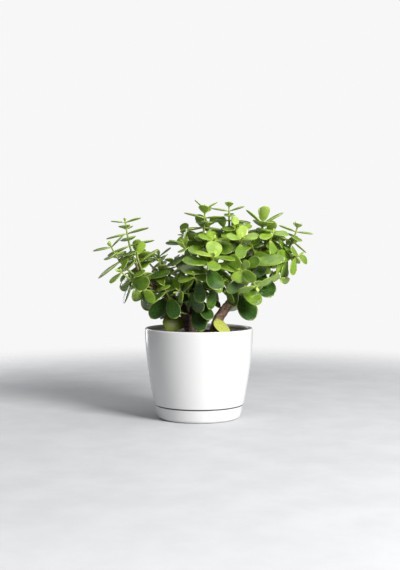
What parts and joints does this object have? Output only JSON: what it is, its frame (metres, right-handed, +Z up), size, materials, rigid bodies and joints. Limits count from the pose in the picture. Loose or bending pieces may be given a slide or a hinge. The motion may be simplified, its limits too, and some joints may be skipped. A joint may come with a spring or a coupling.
{
  "type": "potted jade plant",
  "caption": "Branching succulent with thick glossy oval leaves on two woody stems, in a round plastic pot that tapers down into its own flush saucer.",
  "frame": {"origin": "centre of the saucer's flat underside, on the axis of the pot", "axes": "+Z up along the pot's axis, -Y towards the front that the picture shows, +X to the right of it, where the brown stem leans"},
  "size_m": [0.3648, 0.2337, 0.3621],
  "materials": {
    "pot_plastic": "satin",
    "soil": "matte",
    "bark": "matte",
    "leaf": "satin",
    "yellow_leaf": "satin"
  },
  "bodies": {
    "root": {"saucer": "pot_plastic", "pot": "pot_plastic", "soil": "soil", "left_stem": "bark", "right_stem": "bark", "leaf_over_soil_left": "leaf", "leaf_over_soil_middle": "leaf", "leaf_front_of_stem": "leaf", "leaf_yellow": "yellow_leaf", "leaf_hanging_left": "leaf", "leaf_under_left_limb": "leaf", "leaf_big_right": "leaf", "leaf_hanging_right": "leaf", "leaf_low_right": "leaf", "leaf_right_of_stem": "leaf", "leaf_behind_stem": "leaf", "shoot_left_top": "leaf", "shoot_left_outer": "leaf", "shoot_left_upright": "leaf", "shoot_left_front": "leaf", "shoot_left_low": "leaf", "shoot_left_inner": "leaf", "shoot_left_back": "leaf", "shoot_left_back_low": "leaf", "shoot_left_under": "leaf", "shoot_rear_left_top": "leaf", "shoot_rear_left_outer": "leaf", "shoot_rear_left_low": "leaf", "shoot_rear_left_inner": "leaf", "shoot_crown_left": "leaf", "shoot_crown_front": "leaf", "shoot_crown_side": "leaf", "shoot_crown_low": "leaf", "shoot_crown_left_rear": "leaf", "shoot_crown_rear": "leaf", "shoot_centre_rear": "leaf", "shoot_centre_front": "leaf", "shoot_centre_left": "leaf", "shoot_centre_low": "leaf", "shoot_centre_right": "leaf", "shoot_top_round": "leaf", "shoot_top_middle": "leaf", "shoot_top_front": "leaf", "shoot_top_rear": "leaf", "shoot_top_low": "leaf", "shoot_right_top": "leaf", "shoot_right_front": "leaf", "shoot_right_rear": "leaf", "shoot_right_inner": "leaf", "shoot_outer_top": "leaf", "shoot_outer_low": "leaf", "shoot_outer_rear": "leaf", "shoot_outer_under": "leaf", "shoot_front_rosette": "leaf", "shoot_front_low": "leaf", "shoot_front_left": "leaf", "shoot_rear_right_top": "leaf", "shoot_rear_right_outer": "leaf", "shoot_rear_right_inner": "leaf", "shoot_rear_right_low": "leaf"}
  },
  "joints": []
}
